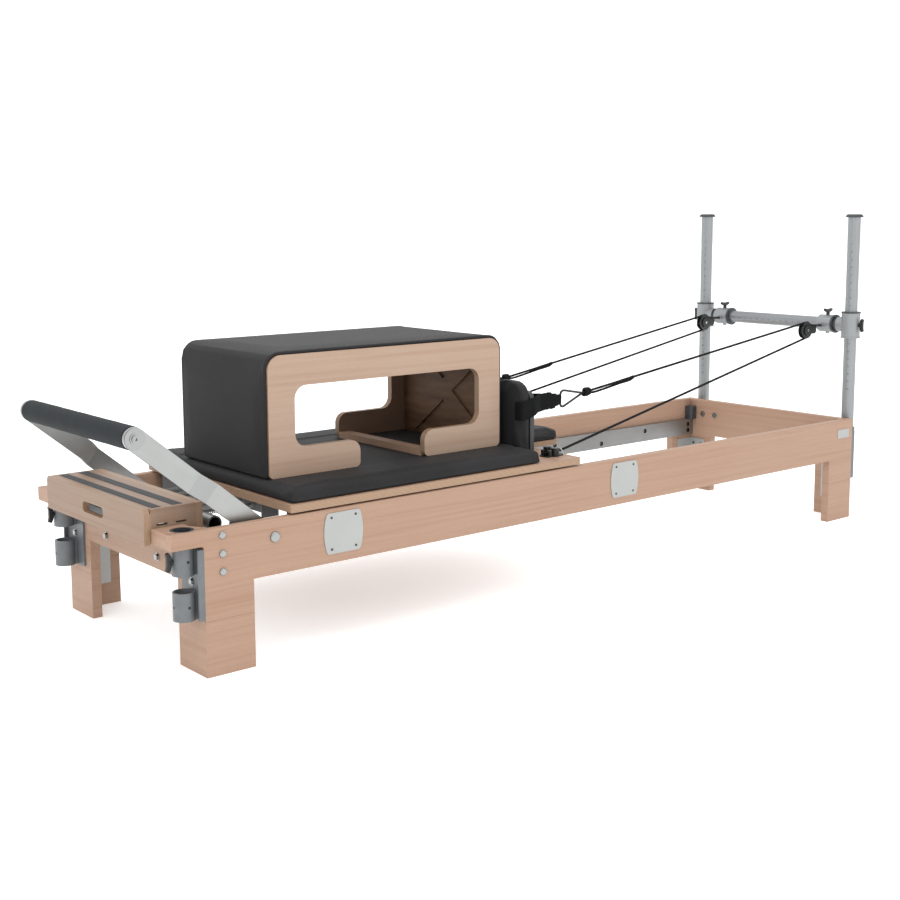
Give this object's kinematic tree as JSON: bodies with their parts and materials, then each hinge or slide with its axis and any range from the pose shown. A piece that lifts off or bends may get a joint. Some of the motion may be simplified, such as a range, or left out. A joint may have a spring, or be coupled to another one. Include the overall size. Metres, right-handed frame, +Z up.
{
  "type": "pilates reformer",
  "caption": "Wooden reformer bench with a padded sliding carriage, shoulder and head rests, foot bar, standing platform, sitting box, and riser poles with an adjustable pulley bar.",
  "frame": {"origin": "on the floor, in the middle of the overall length and width", "axes": "+X along the bench from the foot bar end to the riser pole end, +Y across it, +Z up"},
  "size_m": [2.6046, 0.7088, 0.994],
  "materials": {
    "beech": "clear satin lacquer",
    "plywood": "clear satin lacquer, plies showing",
    "inner_ply": "dull",
    "upholstery": "matt grained vinyl",
    "foam": "fine foam skin",
    "satin_aluminium": "brushed",
    "anodised_tube": "satin anodised",
    "grey_steel": "satin powder coat",
    "bright_steel": "polished",
    "silver_plate": "satin",
    "black_plastic": "matt",
    "dark_ring": "matt",
    "wheel_plastic": "smooth",
    "grip_strip": "ribbed",
    "black_cord": "braided",
    "black_webbing": "woven",
    "rest_plate": "satin",
    "spring_steel": "bright wound wire",
    "black_wire": "satin",
    "dark_screw": "black oxide"
  },
  "bodies": {
    "bench": {"side_rail_near": "beech", "side_rail_far": "beech", "foot_end_board": "beech", "riser_end_board": "beech", "corner_blocks": "beech", "leg_extensions": "beech", "leg_joint_plates": "silver_plate", "pole_brackets": "grey_steel", "socket_rings": "dark_ring", "tracks": "satin_aluminium", "rear_stops": "dark_ring", "side_plates": "silver_plate", "frame_bolts": "bright_steel", "small_screws": "dark_screw", "crossboard_plate": "grey_steel", "spring_bar": "satin_aluminium", "footbar_pivots": "bright_steel", "footbar_rests": "black_plastic", "riser_poles": "anodised_tube", "pole_caps": "dark_ring", "rope_near": "black_cord", "rope_far": "black_cord", "springs": "spring_steel"},
    "footbar": {"footbar_arms": "satin_aluminium", "footbar_tube": "satin_aluminium", "footbar_grip": "foam", "footbar_bolts": "bright_steel"},
    "crossbar": {"crossbar_tube": "anodised_tube", "pole_clamps": "anodised_tube", "clamp_rings": "dark_ring", "bar_collars": "anodised_tube", "pulley_blocks": "black_plastic"},
    "pulley_near": {"pulley_wheel_near": "wheel_plastic"},
    "pulley_far": {"pulley_wheel_far": "wheel_plastic"},
    "carriage": {"carriage_board": "plywood", "carriage_pad": "upholstery", "carriage_brackets": "silver_plate", "side_rollers": "wheel_plastic", "rope_cleats": "black_plastic", "straps": "black_webbing", "strap_rings": "black_wire"},
    "wheels_front": {"front_wheels": "wheel_plastic"},
    "wheels_rear": {"rear_wheels": "wheel_plastic"},
    "headrest": {"headrest_board": "plywood", "headrest_pad": "upholstery"},
    "rest_near": {"shoulder_rest_near": "rest_plate", "shoulder_pad_near": "upholstery"},
    "rest_far": {"shoulder_rest_far": "rest_plate", "shoulder_pad_far": "upholstery"},
    "sitting_box": {"box_sides": "plywood", "box_frame": "inner_ply", "box_cover": "upholstery"},
    "platform": {"platform_body": "plywood", "platform_strips": "grip_strip"},
    "knob_socket_near": {"socket_knob_near": "black_plastic"},
    "knob_socket_far": {"socket_knob_far": "black_plastic"},
    "knob_clamp_near": {"clamp_knob_near": "black_plastic"},
    "knob_clamp_far": {"clamp_knob_far": "black_plastic"},
    "knob_collar_near": {"collar_knob_near": "black_plastic"},
    "knob_collar_far": {"collar_knob_far": "black_plastic"}
  },
  "joints": [
    {"name": "carriage_slide", "type": "slide", "parent": "bench", "child": "carriage", "axis": [1, 0, 0], "range_m": [0, 0.9], "deforming": ["springs", "rope_near", "rope_far"]},
    {"name": "front_wheels_spin", "type": "hinge", "parent": "carriage", "child": "wheels_front", "pos_m": [-0.87425, 0, 0.2793], "axis": [0, 1, 0], "range_deg": [-2400, 2400]},
    {"name": "rear_wheels_spin", "type": "hinge", "parent": "carriage", "child": "wheels_rear", "pos_m": [-0.12925, 0, 0.2793], "axis": [0, 1, 0], "range_deg": [-2400, 2400]},
    {"name": "headrest_tilt", "type": "hinge", "parent": "carriage", "child": "headrest", "pos_m": [-0.08475, 0, 0.355], "axis": [0, -1, 0], "range_deg": [0, 35]},
    {"name": "shoulder_rest_near_lift", "type": "slide", "parent": "carriage", "child": "rest_near", "axis": [0, 0, 1], "range_m": [0, 0.26]},
    {"name": "shoulder_rest_far_lift", "type": "slide", "parent": "carriage", "child": "rest_far", "axis": [0, 0, 1], "range_m": [0, 0.26]},
    {"name": "box_lift", "type": "slide", "parent": "carriage", "child": "sitting_box", "axis": [0, 0, 1], "range_m": [0, 0.35]},
    {"name": "platform_lift", "type": "slide", "parent": "bench", "child": "platform", "axis": [0, 0, 1], "range_m": [0, 0.12]},
    {"name": "footbar_fold", "type": "hinge", "parent": "bench", "child": "footbar", "pos_m": [-0.98125, 0, 0.287], "axis": [0, 1, 0], "range_deg": [0, 52]},
    {"name": "crossbar_height", "type": "slide", "parent": "bench", "child": "crossbar", "axis": [0, 0, 1], "range_m": [-0.24, 0.29]},
    {"name": "pulley_near_spin", "type": "hinge", "parent": "crossbar", "child": "pulley_near", "pos_m": [1.15075, -0.214, 0.616], "axis": [0, 1, 0], "continuous": true},
    {"name": "pulley_far_spin", "type": "hinge", "parent": "crossbar", "child": "pulley_far", "pos_m": [1.15075, 0.214, 0.616], "axis": [0, 1, 0], "continuous": true},
    {"name": "socket_knob_near_turn", "type": "hinge", "parent": "bench", "child": "knob_socket_near", "pos_m": [-1.21425, -0.306, 0.2613], "axis": [-1, 0, 0], "range_deg": [0, 720]},
    {"name": "socket_knob_far_turn", "type": "hinge", "parent": "bench", "child": "knob_socket_far", "pos_m": [-1.21425, 0.306, 0.2613], "axis": [-1, 0, 0], "range_deg": [0, 720]},
    {"name": "clamp_knob_near_turn", "type": "hinge", "parent": "crossbar", "child": "knob_clamp_near", "pos_m": [1.27075, -0.3364, 0.633], "axis": [0, -1, 0], "range_deg": [0, 720]},
    {"name": "clamp_knob_far_turn", "type": "hinge", "parent": "crossbar", "child": "knob_clamp_far", "pos_m": [1.27075, 0.3364, 0.633], "axis": [0, 1, 0], "range_deg": [0, 720]},
    {"name": "collar_knob_near_turn", "type": "hinge", "parent": "crossbar", "child": "knob_collar_near", "pos_m": [1.27075, -0.217, 0.662], "axis": [0, 0, 1], "range_deg": [0, 720]},
    {"name": "collar_knob_far_turn", "type": "hinge", "parent": "crossbar", "child": "knob_collar_far", "pos_m": [1.27075, 0.217, 0.662], "axis": [0, 0, 1], "range_deg": [0, 720]}
  ],
  "couplings": [
    {"joint": "front_wheels_spin", "follows": "carriage_slide", "rad_per_m": 45.455},
    {"joint": "rear_wheels_spin", "follows": "carriage_slide", "rad_per_m": 45.455}
  ]
}
